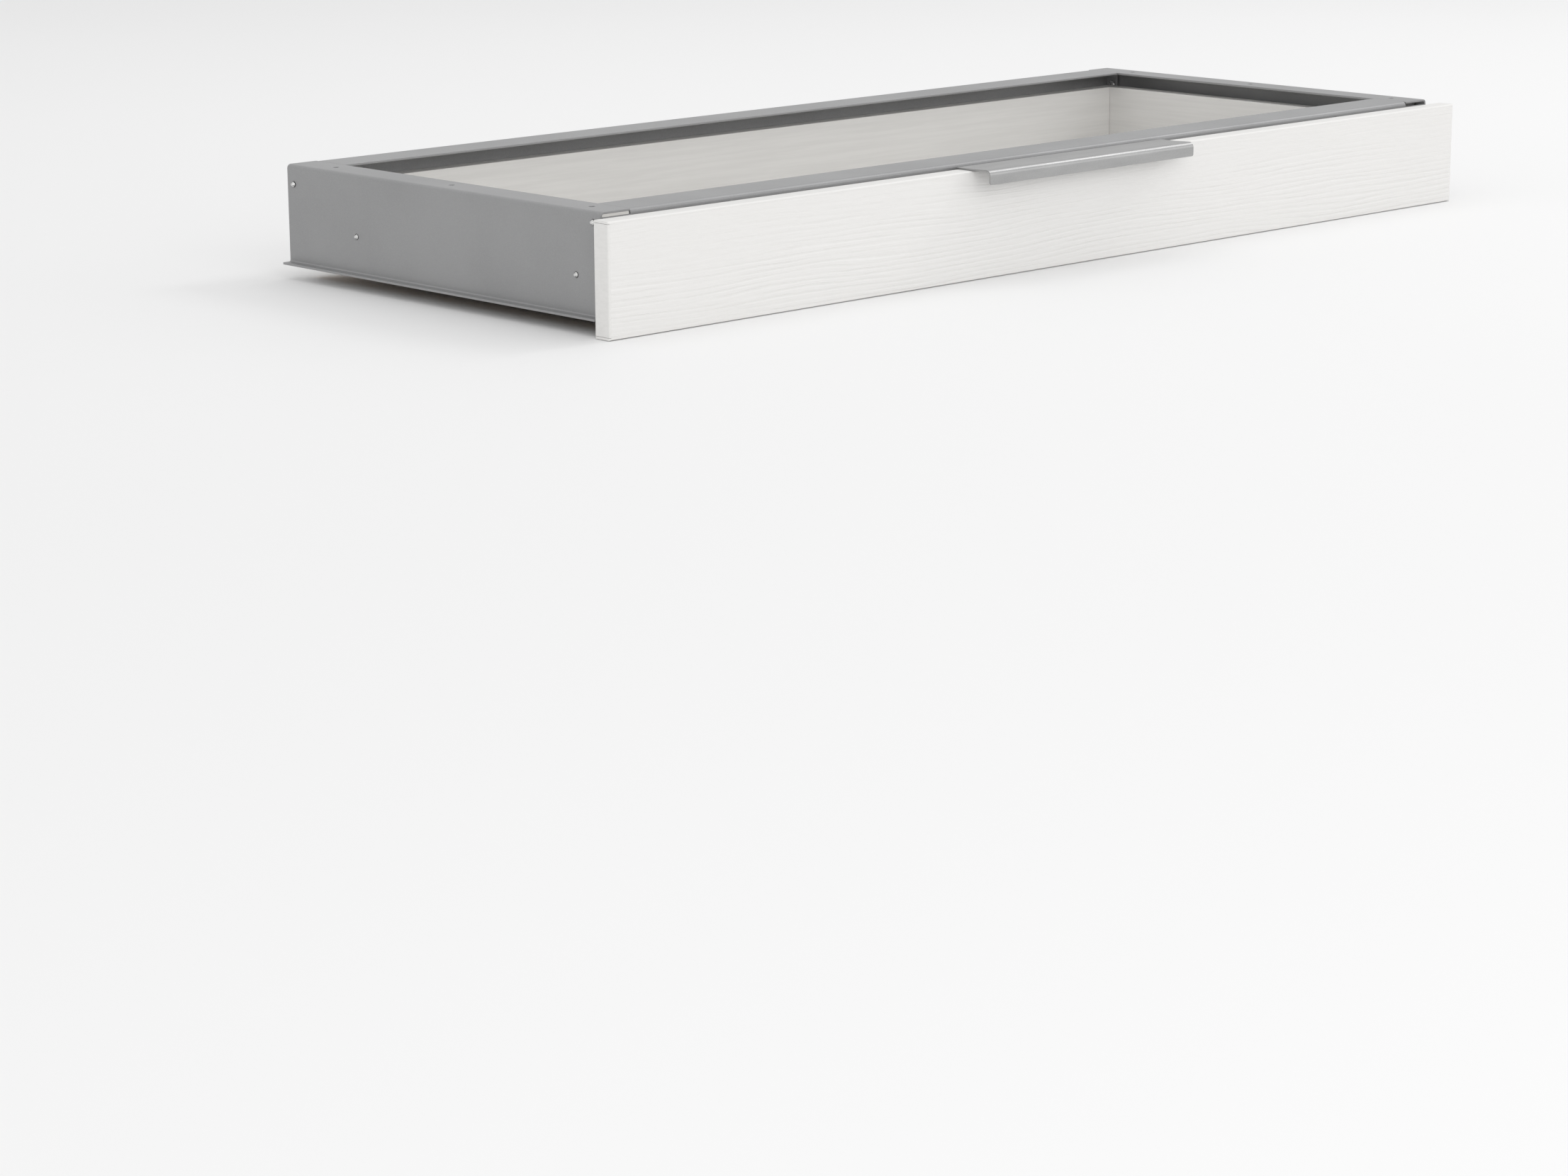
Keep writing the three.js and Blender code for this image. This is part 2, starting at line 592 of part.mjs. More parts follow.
// A corner screw's hole and the wider seat for its head, drilled from 1 outside the side's face.
function cornerHole(side, y, z) {
  const { head, headHeight, shank, length } = CORNER_SCREW;
  const drillAt = (radius, depth) =>
    bar([side * (BOX_HALF + 1), y, z], inwardsFrom(side), radius + FIT, 1 + depth);
  return [drillAt(shank, length + 2), drillAt(head, headHeight + FIT)];
}

function cornerHoles(sides, places) {
  return sides.flatMap((side) => places.flatMap((place) =>
    Object.values(CORNER_SCREW_Z).flatMap((z) => cornerHole(side, CORNER_SCREW_Y[place], z))));
}

function sideGeometry(side) {
  const [x0, x1] = sorted(side * BOX_HALF, side * BOX_INSIDE);
  const [grooveX0, grooveX1] = sorted(side * (BOX_INSIDE + GROOVE_DEPTH), side * (BOX_INSIDE - 1));
  const groove = block(
    [grooveX0, BOX_FRONT_Y + BOARD / 2, PANEL_BOTTOM - FIT],
    [grooveX1, BOX_BACK_Y + 1, PANEL_TOP + FIT]);
  const pilots = SLIDE_SCREW_Y.map((y) => bar([side * (BOX_HALF + 1), y, SLIDE_Z], inwardsFrom(side),
    MEMBER_SCREW.shank + FIT, SIDE_PILOT_DEPTH + 1));
  return cut(block([x0, BOX_FRONT_Y, BOX_BOTTOM], [x1, BOX_BACK_Y, BOX_TOP]),
    [groove, ...pilots, ...cornerHoles([side], ['front', 'back'])]);
}

// The pocket in a cross board that an end of the bottom rail sits in.
function railPocket(y0, y1) {
  const half = BOTTOM_RAIL_WIDTH / 2 + FIT;
  return block([-half, y0, BOX_BOTTOM - 1], [half, y1, PANEL_BOTTOM + 1]);
}

// The two sides, the front board and the back board.
function addBoards(drawer) {
  for (const [name, side] of SIDES) {
    add(drawer, `box_side_${name}`, sideGeometry(side), boxBoard);
  }
  const frontBoard = block([-CROSS_HALF, BOX_FRONT_Y, BOX_BOTTOM], [CROSS_HALF, BOX_FRONT_INNER_Y, BOX_TOP]);
  const groove = block(
    [-CROSS_HALF - 1, BOX_FRONT_INNER_Y - FRONT_GROOVE_DEPTH, PANEL_BOTTOM - FIT],
    [CROSS_HALF + 1, BOX_FRONT_INNER_Y + 1, PANEL_TOP + FIT]);
  const screwHoles = FRONT_SCREW_X.map((x) =>
    bar([x, BOX_FRONT_Y - 1, SLIDE_Z], Y_AXIS, FRONT_SCREW.shank + FIT, BOARD + 2));
  add(drawer, 'box_front', cut(frontBoard, [
    groove,
    railPocket(BOX_FRONT_INNER_Y - RAIL_POCKET, BOX_FRONT_INNER_Y + 1),
    ...screwHoles,
    ...cornerHoles([-1, 1], ['front']),
  ]), boxBoard);
  const backBoard = block(
    [-CROSS_HALF, BOX_BACK_Y - BOARD, PANEL_TOP + FIT],
    [CROSS_HALF, BOX_BACK_Y, BOX_TOP]);
  add(drawer, 'box_back', cut(backBoard, cornerHoles([-1, 1], ['back'])), boxBoard);
}

// The panel slides in under the back board from behind, and an upturned channel stiffens its middle.
function addBottom(drawer) {
  const panelHalf = BOX_INSIDE + GROOVE_DEPTH - FIT;
  add(drawer, 'box_bottom', block(
    [-panelHalf, BOX_FRONT_INNER_Y - FRONT_GROOVE_DEPTH + FIT, PANEL_BOTTOM],
    [panelHalf, BOX_BACK_Y - 0.5, PANEL_TOP]), thinPanel);
  const railHalf = (BOTTOM_RAIL_WIDTH - BOTTOM_RAIL_SHEET) / 2;
  const railTop = PANEL_BOTTOM - FIT;
  const railWeb = BOX_BOTTOM + BOTTOM_RAIL_SHEET / 2;
  const section = foldedSheet([
    [-railHalf, railTop],
    [-railHalf, railWeb],
    [railHalf, railWeb],
    [railHalf, railTop],
  ], BOTTOM_RAIL_SHEET, BOTTOM_RAIL_BEND, 2);
  const rail = extrudeAlongY(section, BOX_FRONT_INNER_Y - RAIL_POCKET + FIT, BOX_BACK_Y - 1);
  add(drawer, 'bottom_rail', rail, zincSteel);
}

function addBoxScrews(drawer) {
  const frontScrew = panHeadSection(FRONT_SCREW);
  FRONT_SCREW_X.forEach((x, i) => addScrew(drawer, `front_screw_${i + 1}`, frontScrew,
    [x, BOX_FRONT_INNER_Y + FIT, SLIDE_Z], Y_AXIS));
  const cornerScrew = flushHeadSection(CORNER_SCREW);
  for (const [name, side] of SIDES) {
    for (const [place, y] of Object.entries(CORNER_SCREW_Y)) {
      for (const [level, z] of Object.entries(CORNER_SCREW_Z)) {
        addScrew(drawer, `corner_screw_${place}_${level}_${name}`, cornerScrew,
          [side * BOX_HALF, y, z], inwardsFrom(-side));
      }
    }
  }
}

// ---------- the whole unit ----------

const drawer = new THREE.Group();
addFront(drawer);
addPull(drawer);
addBoards(drawer);
addBottom(drawer);
addBoxScrews(drawer);
drawerUnit.add(buildCarrier(), drawer);
for (const [name, side] of SIDES) {
  drawerUnit.add(buildSlide(name, side));
}

export default drawerUnit;
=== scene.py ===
"""Looks of the under-desk drawer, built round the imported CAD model. Metres, in the part's own frame:
+Z up, the drawer opens towards -Y, and Z = 0 is the underside of the desktop it hangs from."""

import functools
import json
import math

import bmesh
import bpy
from mathutils import Matrix, Vector


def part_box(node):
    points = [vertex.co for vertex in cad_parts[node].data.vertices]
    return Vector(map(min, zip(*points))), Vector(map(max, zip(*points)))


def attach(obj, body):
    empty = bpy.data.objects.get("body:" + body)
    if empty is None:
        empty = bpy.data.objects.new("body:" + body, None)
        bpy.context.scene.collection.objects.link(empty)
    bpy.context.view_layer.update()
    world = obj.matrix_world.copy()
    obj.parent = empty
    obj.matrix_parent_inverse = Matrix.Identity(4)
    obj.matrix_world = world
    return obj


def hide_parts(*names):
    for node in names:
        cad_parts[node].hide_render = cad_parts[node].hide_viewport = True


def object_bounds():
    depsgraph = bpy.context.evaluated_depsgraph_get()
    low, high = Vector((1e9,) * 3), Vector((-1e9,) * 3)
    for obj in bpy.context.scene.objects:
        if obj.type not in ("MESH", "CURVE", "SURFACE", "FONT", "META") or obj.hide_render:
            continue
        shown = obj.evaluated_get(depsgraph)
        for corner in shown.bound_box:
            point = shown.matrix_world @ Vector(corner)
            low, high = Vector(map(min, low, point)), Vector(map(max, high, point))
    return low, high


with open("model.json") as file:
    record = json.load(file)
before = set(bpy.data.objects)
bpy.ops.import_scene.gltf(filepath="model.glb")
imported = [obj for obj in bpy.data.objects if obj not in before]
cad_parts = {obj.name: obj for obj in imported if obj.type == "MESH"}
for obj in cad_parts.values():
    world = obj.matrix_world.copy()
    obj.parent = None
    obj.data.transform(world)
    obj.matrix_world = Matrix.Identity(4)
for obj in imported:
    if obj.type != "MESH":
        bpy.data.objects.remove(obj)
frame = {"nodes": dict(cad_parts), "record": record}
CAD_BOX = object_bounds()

MM = 0.001
SIDES = {"left": -1, "right": 1}  # with the sign of X there
BODY_OF = {node: body for body, nodes in frame["record"]["behaviour"]["bodies"].items()
           for node in nodes}
SLOT_OF = {row["node"]: row["material_slot"] for row in frame["record"]["subparts"]}

# ---------- camera ----------

CAMERA_PLACE = Vector((-2.537, -2.320, 0.442))
CAMERA_HEADING = math.radians(43.68)  # from +Y towards +X
CAMERA_TILT = math.radians(-13.90)
CAMERA_ROLL = math.radians(-0.28)
CAMERA_LENS = 87.7  # mm
FAR = 60.0  # how far the camera sees, and how far the floor reaches


def add_camera():
    """The photograph's viewpoint: from the left of the drawer and a little above the desktop."""
    forward = Vector((
        math.sin(CAMERA_HEADING) * math.cos(CAMERA_TILT),
        math.cos(CAMERA_HEADING) * math.cos(CAMERA_TILT),
        math.sin(CAMERA_TILT),
    ))
    camera = bpy.data.objects.new("camera", bpy.data.cameras.new("camera"))
    camera.data.lens = CAMERA_LENS
    camera.data.clip_end = FAR
    turn = forward.to_track_quat("-Z", "Y") @ Matrix.Rotation(CAMERA_ROLL, 4, "Z").to_quaternion()
    camera.matrix_world = Matrix.LocRotScale(CAMERA_PLACE, turn, None)
    bpy.context.scene.collection.objects.link(camera)
    bpy.context.scene.camera = camera


# ---------- finishes ----------

IOR = 1.5


class Finish:
    """A material with short calls for the nodes that the finishes share. Coordinates are in metres."""

    def __init__(self, name, metallic=0.0):
        self.material = bpy.data.materials.new(name)
        self.material.use_nodes = True
        self.nodes = self.material.node_tree.nodes
        self.shader = self.nodes["Principled BSDF"]
        self.shader.inputs["Metallic"].default_value = metallic
        self.shader.inputs["IOR"].default_value = IOR
        coordinates = self.nodes.new("ShaderNodeTexCoord")
        self.place = coordinates.outputs["Object"]
        self.facing = coordinates.outputs["Normal"]

    def link(self, source, target):
        self.material.node_tree.links.new(source, target)

    def feed(self, socket, value):
        if isinstance(value, bpy.types.NodeSocket):
            self.link(value, socket)
        else:
            socket.default_value = value

    def noise(self, scale, detail=2.0, roughness=0.5, source=None):
        """Noise from 0 to 1. The scale is in features a metre: one number, or one for each axis."""
        stretched = self.nodes.new("ShaderNodeVectorMath")
        stretched.operation = "MULTIPLY"
        self.link(source or self.place, stretched.inputs[0])
        stretched.inputs[1].default_value = scale if isinstance(scale, tuple) else (scale,) * 3
        node = self.nodes.new("ShaderNodeTexNoise")
        self.link(stretched.outputs[0], node.inputs["Vector"])
        node.inputs["Scale"].default_value = 1.0
        node.inputs["Detail"].default_value = detail
        node.inputs["Roughness"].default_value = roughness
        return node.outputs["Fac"]

    def maths(self, operation, a, b=0.0):
        node = self.nodes.new("ShaderNodeMath")
        node.operation = operation
        self.feed(node.inputs[0], a)
        self.feed(node.inputs[1], b)
        return node.outputs[0]

    def remap(self, value, low, high, to_low=0.0, to_high=1.0):
        node = self.nodes.new("ShaderNodeMapRange")
        node.interpolation_type = "SMOOTHSTEP"
        self.feed(node.inputs["Value"], value)
        ends = {"From Min": low, "From Max": high, "To Min": to_low, "To Max": to_high}
        for name, number in ends.items():
            self.feed(node.inputs[name], number)
        return node.outputs[0]

    def spread(self, noise, to_low=0.0, to_high=1.0):
        """The middle of the noise's range, where nearly all of it lies, spread over another range."""
        return self.remap(noise, 0.3, 0.7, to_low, to_high)

    def split(self, source=None):
        node = self.nodes.new("ShaderNodeSeparateXYZ")
        self.link(source or self.place, node.inputs[0])
        return node.outputs

    def blend(self, share, low, high):
        """A colour between two, each an (r, g, b) or a socket."""
        node = self.nodes.new("ShaderNodeMix")
        node.data_type = "RGBA"
        self.feed(node.inputs["Factor"], share)
        for socket, colour in zip((node.inputs[6], node.inputs[7]), (low, high)):
            self.feed(socket, (*colour, 1.0) if isinstance(colour, tuple) else colour)
        return node.outputs[2]

    def bump(self, height, distance, strength=1.0, under=None):
        node = self.nodes.new("ShaderNodeBump")
        self.link(height, node.inputs["Height"])
        node.inputs["Distance"].default_value = distance
        node.inputs["Strength"].default_value = strength
        if under is not None:
            self.link(under, node.inputs["Normal"])
        return node.outputs[0]

    def done(self, colour, roughness, normal=None):
        self.link(colour, self.shader.inputs["Base Color"])
        self.feed(self.shader.inputs["Roughness"], roughness)
        if normal is not None:
            self.link(normal, self.shader.inputs["Normal"])
        return self.material


GRAIN_PITCH = 4.8 * MM  # between the pressed grain lines of the front
GRAIN_SLANT = 0.8  # how much the lines climb for each metre towards the back, seen on end faces
RIDGE_LAG = 1.9  # from a groove down to the painted highlight on the ridge below it, as an angle of the grain's wave
LINE_WEIGHT = 0.56  # of the fine lines against the grooves
# scale and detail of each noise that bends the lines, and how far it moves them, in metres
GRAIN_BENDS = (
    ((2.0, 3.0, 9.0), 1.0, 0.030),
    ((6.0, 12.0, 40.0), 1.0, 0.0050),
    ((9.0, 30.0, 95.0), 1.0, 0.0045),
    ((55.0, 60.0, 230.0), 2.0, 0.0011),
)


def wood_decor(name, pale, dark, wear_and_highlight, relief):
    """White decor with pressed grain along X: long wavy grooves with a painted highlight on the ridge
    below each, deep in some bands and almost absent in others, and fine lines between them."""
    finish = Finish(name)
    x, y, z = finish.split()
    bends = [finish.maths("MULTIPLY", finish.noise(scale, detail), reach)
             for scale, detail, reach in GRAIN_BENDS]
    bend = functools.reduce(lambda total, more: finish.maths("ADD", total, more), bends)
    across = finish.maths("ADD", z, finish.maths("MULTIPLY", y, GRAIN_SLANT))
    warped = finish.maths("ADD", across, bend)
    phase = finish.maths("MULTIPLY", warped, 2 * math.pi / GRAIN_PITCH)
    grooves = finish.remap(finish.maths("SINE", phase), 0.35, 1.0)
    # painted highlight: the ridge below each groove is made paler, as light from above would light it
    ridge_highlights = finish.remap(finish.maths("SINE", finish.maths("ADD", phase, RIDGE_LAG)), 0.55, 1.0)

    flow = finish.nodes.new("ShaderNodeCombineXYZ")
    finish.link(finish.maths("MULTIPLY", x, 26.0), flow.inputs[0])
    finish.link(finish.maths("MULTIPLY", warped, 520.0), flow.inputs[2])
    lines = finish.remap(finish.noise(1.0, 3.0, 0.6, flow.outputs[0]), 0.34, 0.66)

    # each line has a depth of its own, and the grain fades in zones, most of them in the upper part
    own = finish.remap(finish.noise((11.0, 20.0, 190.0), 1.0), 0.30, 0.62, 0.30, 1.0)
    lower = finish.remap(z, -22 * MM, -60 * MM, 0.13, 0.30)
    patches = finish.maths("MULTIPLY", finish.noise((2.6, 3.0, 24.0), 1.5), 0.6)
    zone = finish.remap(finish.maths("ADD", patches, lower), 0.43, 0.58, 0.18, 1.0)
    deep = finish.maths("MULTIPLY", own, zone)

    pressed = finish.maths("ADD", finish.maths("MULTIPLY", grooves, deep),
                           finish.maths("MULTIPLY", lines, LINE_WEIGHT))
    height = finish.maths("MULTIPLY", pressed, -1.0)
    sunk = finish.blend(finish.remap(pressed, 0.1, 1.2), pale, dark)
    # the painted highlight goes onto the ridges, as strong as the grooves beside them are deep
    tone = finish.blend(finish.maths("MULTIPLY", ridge_highlights, deep), sunk, wear_and_highlight)
    rough = finish.remap(pressed, 0.0, 1.0, 0.46, 0.60)
    return finish.done(tone, rough, finish.bump(height, relief))


def edge_band():
    """Plastic band in the front's colour: fine lengthwise print and a soft sheen."""
    finish = Finish("edge_band")
    streaks = finish.noise((14.0, 160.0, 420.0), 3.0, 0.6)
    colour = finish.blend(finish.spread(streaks), (0.79, 0.782, 0.764), (0.82, 0.812, 0.794))
    return finish.done(colour, finish.spread(streaks, 0.46, 0.38), finish.bump(streaks, 0.02 * MM))


def melamine(name, pale, dark):
    """Coated board with a shallow print and a pearl texture. Its lower edges are raw and show chips."""
    finish = Finish(name)
    streaks = finish.noise((10.0, 10.0, 260.0), 3.0, 0.55)
    pearl = finish.noise(900.0, 2.0)
    coat = finish.blend(finish.remap(streaks, 0.3, 0.72), dark, pale)
    chips = finish.noise((700.0, 300.0, 900.0), 3.0, 0.7)
    chip_tone = finish.remap(chips, 0.35, 0.65)
    chip_colour = finish.blend(chip_tone, (0.23, 0.14, 0.07), (0.52, 0.38, 0.23))
    down = finish.maths("MULTIPLY", finish.split(finish.facing)[2], -1.0)
    raw = finish.remap(down, 0.80, 0.95)
    colour = finish.blend(raw, coat, chip_colour)
    rough = finish.remap(raw, 0.0, 1.0, 0.46, 0.85)
    fine = finish.bump(pearl, 0.02 * MM, 0.7)
    rugged = finish.maths("MULTIPLY", chips, raw)
    return finish.done(colour, rough, finish.bump(rugged, 0.25 * MM, 1.0, fine))


def thin_panel():
    """Thin hard board: a smooth pale face upwards and bare brown fibre below."""
    finish = Finish("thin_panel")
    fibre = finish.noise((380.0, 900.0, 400.0), 4.0, 0.7)
    up = finish.remap(finish.split(finish.facing)[2], 0.4, 0.8)
    clouds = finish.noise((6.0, 9.0, 6.0), 3.0)
    pale = finish.blend(finish.spread(clouds), (0.715, 0.705, 0.685), (0.735, 0.725, 0.705))
    brown = finish.blend(finish.spread(fibre), (0.20, 0.115, 0.06), (0.36, 0.23, 0.13))
    colour = finish.blend(up, brown, pale)
    rough = finish.remap(up, 0.0, 1.0, 0.85, 0.42)
    return finish.done(colour, rough, finish.bump(fibre, 0.04 * MM, 0.8))


def blasted_metal():
    """Satin grey metal of the edge pull: even, with a very fine sparkle and faint long marks."""
    finish = Finish("blasted_metal", metallic=0.9)
    sparkle = finish.noise(1500.0, 2.0, 0.7)
    marks = finish.noise((12.0, 900.0, 900.0), 3.0, 0.6)
    haze = finish.noise((16.0, 60.0, 60.0), 3.0)
    shade = finish.blend(finish.spread(haze), (0.35, 0.35, 0.35), (0.39, 0.39, 0.388))
    colour = finish.blend(finish.remap(sparkle, 0.35, 0.7, 0.0, 0.35), shade, (0.50, 0.50, 0.50))
    rough = finish.spread(marks, 0.36, 0.44)
    grit = finish.maths("ADD", sparkle, finish.maths("MULTIPLY", marks, 0.4))
    return finish.done(colour, rough, finish.bump(grit, 0.02 * MM, 0.8))


def powder_coat():
    """Silver-grey powder coat: orange peel, fine metallic flake and slight shade changes."""
    finish = Finish("powder_coat", metallic=0.35)
    peel = finish.noise(420.0, 2.0, 0.45)
    haze = finish.noise(9.0, 3.0)
    flake = finish.noise(2400.0, 1.0)
    paint = finish.blend(finish.spread(haze), (0.300, 0.301, 0.304), (0.322, 0.323, 0.326))
    colour = finish.blend(finish.remap(flake, 0.45, 0.75, 0.0, 0.5), paint, (0.46, 0.46, 0.465))
    return finish.done(colour, finish.spread(haze, 0.48, 0.43), finish.bump(peel, 0.05 * MM, 0.7))


FINE_MARKS = 900.0  # features a metre across the drawing marks
LONG_MARKS = 7.0  # and along them


def zinc_plate(name, tint, along_y=True):
    """Bright zinc on steel with a cloudy plate. Rolled parts have drawing marks along Y."""
    finish = Finish(name, metallic=1.0)
    marks = finish.noise((FINE_MARKS, LONG_MARKS if along_y else FINE_MARKS, FINE_MARKS), 3.0, 0.65)
    clouds = finish.noise((45.0, 28.0, 45.0), 4.0, 0.6)
    dull = tuple(0.80 * channel for channel in tint)
    colour = finish.blend(finish.spread(clouds), dull, tint)
    rough = finish.remap(marks, 0.25, 0.75, 0.22, 0.36)
    return finish.done(colour, rough, finish.bump(marks, 0.012 * MM, 0.7))


def ball_steel():
    """Polished bearing steel under a thin film of grease."""
    finish = Finish("ball_steel", metallic=1.0)
    film = finish.noise(320.0, 2.0)
    colour = finish.blend(finish.spread(film), (0.60, 0.58, 0.54), (0.74, 0.74, 0.74))
    return finish.done(colour, finish.spread(film, 0.22, 0.10))


def moulded_black():
    """Black moulded plastic with a fine spark-eroded texture, paler where it is rubbed."""
    finish = Finish("moulded_black")
    texture = finish.noise(1300.0, 2.0, 0.6)
    wear_and_highlight = finish.noise(70.0, 3.0)
    worn = finish.remap(wear_and_highlight, 0.45, 0.8)
    colour = finish.blend(worn, (0.014, 0.014, 0.015), (0.040, 0.040, 0.042))
    rough = finish.remap(wear_and_highlight, 0.3, 0.8, 0.55, 0.40)
    return finish.done(colour, rough, finish.bump(texture, 0.03 * MM, 0.8))


def grey_rubber():
    """Soft grey rubber with a dusty skin."""
    finish = Finish("grey_rubber")
    dust = finish.noise(260.0, 4.0, 0.65)
    colour = finish.blend(finish.remap(dust, 0.35, 0.7), (0.17, 0.17, 0.17), (0.27, 0.27, 0.265))
    return finish.done(colour, finish.spread(dust, 0.72, 0.9), finish.bump(dust, 0.05 * MM, 0.6))


def make_finishes():
    """One finish for each material slot of the record."""
    return {
        # the front's last colour is the painted highlight on the ridges of its grain
        "front_decor": wood_decor("front_decor", (0.805, 0.796, 0.781), (0.782, 0.772, 0.756),
                                  (0.834, 0.826, 0.812), 0.17 * MM),
        "band_decor": edge_band(),
        "box_board": melamine("box_board", (0.755, 0.745, 0.725), (0.715, 0.705, 0.685)),
        "thin_panel": thin_panel(),
        "satin_metal": blasted_metal(),
        "painted_steel": powder_coat(),
        "zinc_steel": zinc_plate("zinc_steel", (0.66, 0.67, 0.69)),
        "retainer_steel": zinc_plate("retainer_steel", (0.50, 0.51, 0.52)),
        "screw_steel": zinc_plate("screw_steel", (0.72, 0.72, 0.71), along_y=False),
        "black_plastic": moulded_black(),
        "grey_rubber": grey_rubber(),
    }


FINISHES = make_finishes()
BALL_FINISH = ball_steel()

# ---------- mesh helpers ----------

SHARP = math.radians(35)  # edges from this angle on are rounded, or shaded sharp
FLAT = math.radians(1)
WELD = 0.002 * MM
FLAT_FACE_WEIGHT = 80  # of large faces in the shading of the rounds beside them


def add_object(name, mesh, place=None):
    piece = bpy.data.objects.new(name, mesh)
    bpy.context.scene.collection.objects.link(piece)
    if place is not None:
        piece.matrix_world = place
    return piece


def round_edges(piece, width, segments):
    """Rounds on the sharp edges. Blender's own limit on their width is off, because with it one short
    edge narrows every round of the piece."""
    bevel = piece.modifiers.new("rounds", "BEVEL")
    bevel.width = width
    bevel.segments = segments
    bevel.limit_method = "ANGLE"
    bevel.angle_limit = SHARP
    bevel.use_clamp_overlap = False


def even_shading(piece):
    """Flat faces keep flat shading beside their small rounds."""
    weighted = piece.modifiers.new("flat_faces", "WEIGHTED_NORMAL")
    weighted.weight = FLAT_FACE_WEIGHT
    weighted.keep_sharp = True


def soften(piece, width, segments=2):
    """Small rounds on a piece's sharp edges, with flat faces kept flat in the shading."""
    round_edges(piece, width, segments)
    even_shading(piece)


def applied(thing):
    """The mesh that an object's modifiers make. The object itself goes."""
    shown = thing.evaluated_get(bpy.context.evaluated_depsgraph_get())
    mesh = bpy.data.meshes.new_from_object(shown)
    bpy.data.objects.remove(thing)
    return mesh


def combined(base, tool, operation, tool_overlaps=False):
    """One closed mesh from two: their UNION, or their DIFFERENCE, the first with the second cut out.
    Set tool_overlaps for a tool whose own parts overlap, as the bars of the cross cutter do."""
    blank, other = add_object("blank", base), add_object("tool", tool)
    step = blank.modifiers.new("combine", "BOOLEAN")
    step.operation = operation
    step.solver = "EXACT"
    step.use_self = tool_overlaps
    step.object = other
    mesh = applied(blank)
    bpy.data.objects.remove(other)
    mesh.set_sharp_from_angle(angle=SHARP)
    return mesh


def finish_piece(piece, node):
    """The piece stands for a CAD node: same body, same material slot, that slot's finish."""
    slot = SLOT_OF[node]
    if not piece.data.materials:  # screws of one kind share a mesh
        piece.data.materials.append(FINISHES[slot])
    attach(piece, BODY_OF[node])
    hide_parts(node)


def mesh_of(build):
    """A mesh from a function that fills a bmesh, shaded smooth."""
    shape = bmesh.new()
    build(shape)
    mesh = bpy.data.meshes.new("piece")
    bmesh.ops.recalc_face_normals(shape, faces=shape.faces)
    for face in shape.faces:
        face.smooth = True
    shape.to_mesh(mesh)
    shape.free()
    return mesh


def merge_flat_faces(shape):
    bmesh.ops.dissolve_limit(shape, angle_limit=FLAT, verts=shape.verts, edges=shape.edges)


def copied_mesh(node):
    """The CAD node's own shape as a clean mesh: welded, its flat faces whole again. Round a hole a flat
    face has to be cut, and it is cut along the edges of well-shaped triangles. Others run close along
    the hole, where the rounds cross them."""
    def build(shape):
        shape.from_mesh(frame["nodes"][node].data)
        bmesh.ops.remove_doubles(shape, verts=shape.verts, dist=WELD)
        merge_flat_faces(shape)
        bmesh.ops.triangulate(shape, faces=shape.faces, ngon_method="BEAUTY")
        flat_edges = [edge for edge in shape.edges if edge.calc_face_angle(math.pi) < FLAT]
        bmesh.ops.beautify_fill(shape, faces=shape.faces, edges=flat_edges, method="AREA")
        merge_flat_faces(shape)
    return mesh_of(build)


def refine(node, width, segments=2):
    """A piece with the CAD node's shape, its sharp edges rounded."""
    piece = add_object(f"{node}_shown", copied_mesh(node))
    soften(piece, width, segments)
    finish_piece(piece, node)


def turned(shape, rings, sides):
    """A closed surface round Z. Each ring is a height and a function from the angle to the radius, or
    None in its place for a point on the axis. The lowest comes first."""
    angles = [2 * math.pi * k / sides for k in range(sides)]
    previous = None
    for radius_at, height in rings:
        if radius_at is None:
            current = [shape.verts.new((0.0, 0.0, height))]
        else:
            current = [shape.verts.new((radius_at(a) * math.cos(a), radius_at(a) * math.sin(a), height))
                       for a in angles]
        if previous is not None:
            join_rings(shape, previous, current)
        previous = current


def constant(radius):
    return lambda angle: radius


DOME_ANGLES = [math.radians(15 * k) for k in range(6)]


def dome(radius, foot, rise):
    """The profile of a dome: most of a quarter ellipse, from the rim to a small flat at the top."""
    return [(radius * math.cos(t), foot + rise * math.sin(t)) for t in DOME_ANGLES]


def join_rings(shape, lower, upper):
    """Faces between two rings of equal count, or between a ring and a point."""
    count = max(len(lower), len(upper))
    for k in range(count):
        corners = [lower[k % len(lower)], lower[(k + 1) % len(lower)],
                   upper[(k + 1) % len(upper)], upper[k % len(upper)]]
        shape.faces.new(list(dict.fromkeys(corners)))


# ---------- screws ----------

THREAD_PITCH = 1.5 * MM
THREAD_DEPTH = 0.28 * MM
RINGS_A_TURN = 4  # of the thread
FEWEST_RINGS = 6
SCREW_SIDES = 20
TIP_RADIUS = 0.45  # of the core's radius, and the next one too
TIP_LENGTH = 0.6
PAN_EDGE = 0.38  # the straight part of a pan head's height
RECESS_RADIUS = 0.52  # of the head's radius
RECESS_DEPTH = 0.62  # of the head's height
RECESS_ARM = 0.42  # width of a recess's arm, in its own radius
RECESS_TAPER = 0.45  # size at the bottom of the recess
CUTTER_RISE = 0.6  # how far the cutter stands out of the head, in its own depth
FIRST_SPIN = 37  # degrees, of the first recess of each kind
SPIN_STEP = 61


def shank_radius(core, height, top):
    """The radius of a threaded shank at a height, as a function of the angle."""
    fade = min(1.0, max(0.0, (top - height) / THREAD_PITCH))

    def at(angle):
        turns = height / THREAD_PITCH - angle / (2 * math.pi)
        ridge = 1 - 2 * abs(turns - math.floor(turns) - 0.5)
        return core - THREAD_DEPTH * fade * ridge
    return at


def screw_rings(length, core, head):
    """Rings from the tip up to the middle of the head, whose top is at height 0."""
    under_head = head[0][1]
    tip = -length
    steps = max(FEWEST_RINGS, round((length + under_head) / THREAD_PITCH * RINGS_A_TURN))
    rings = [(None, tip), (constant(core * TIP_RADIUS), tip)]
    for k in range(steps + 1):
        height = tip + core * TIP_LENGTH + (under_head - tip - core * TIP_LENGTH) * k / steps
        rings.append((shank_radius(core, height, under_head), height))
    rings += [(constant(radius), height) for radius, height in head]
    return rings + [(None, head[-1][1])]


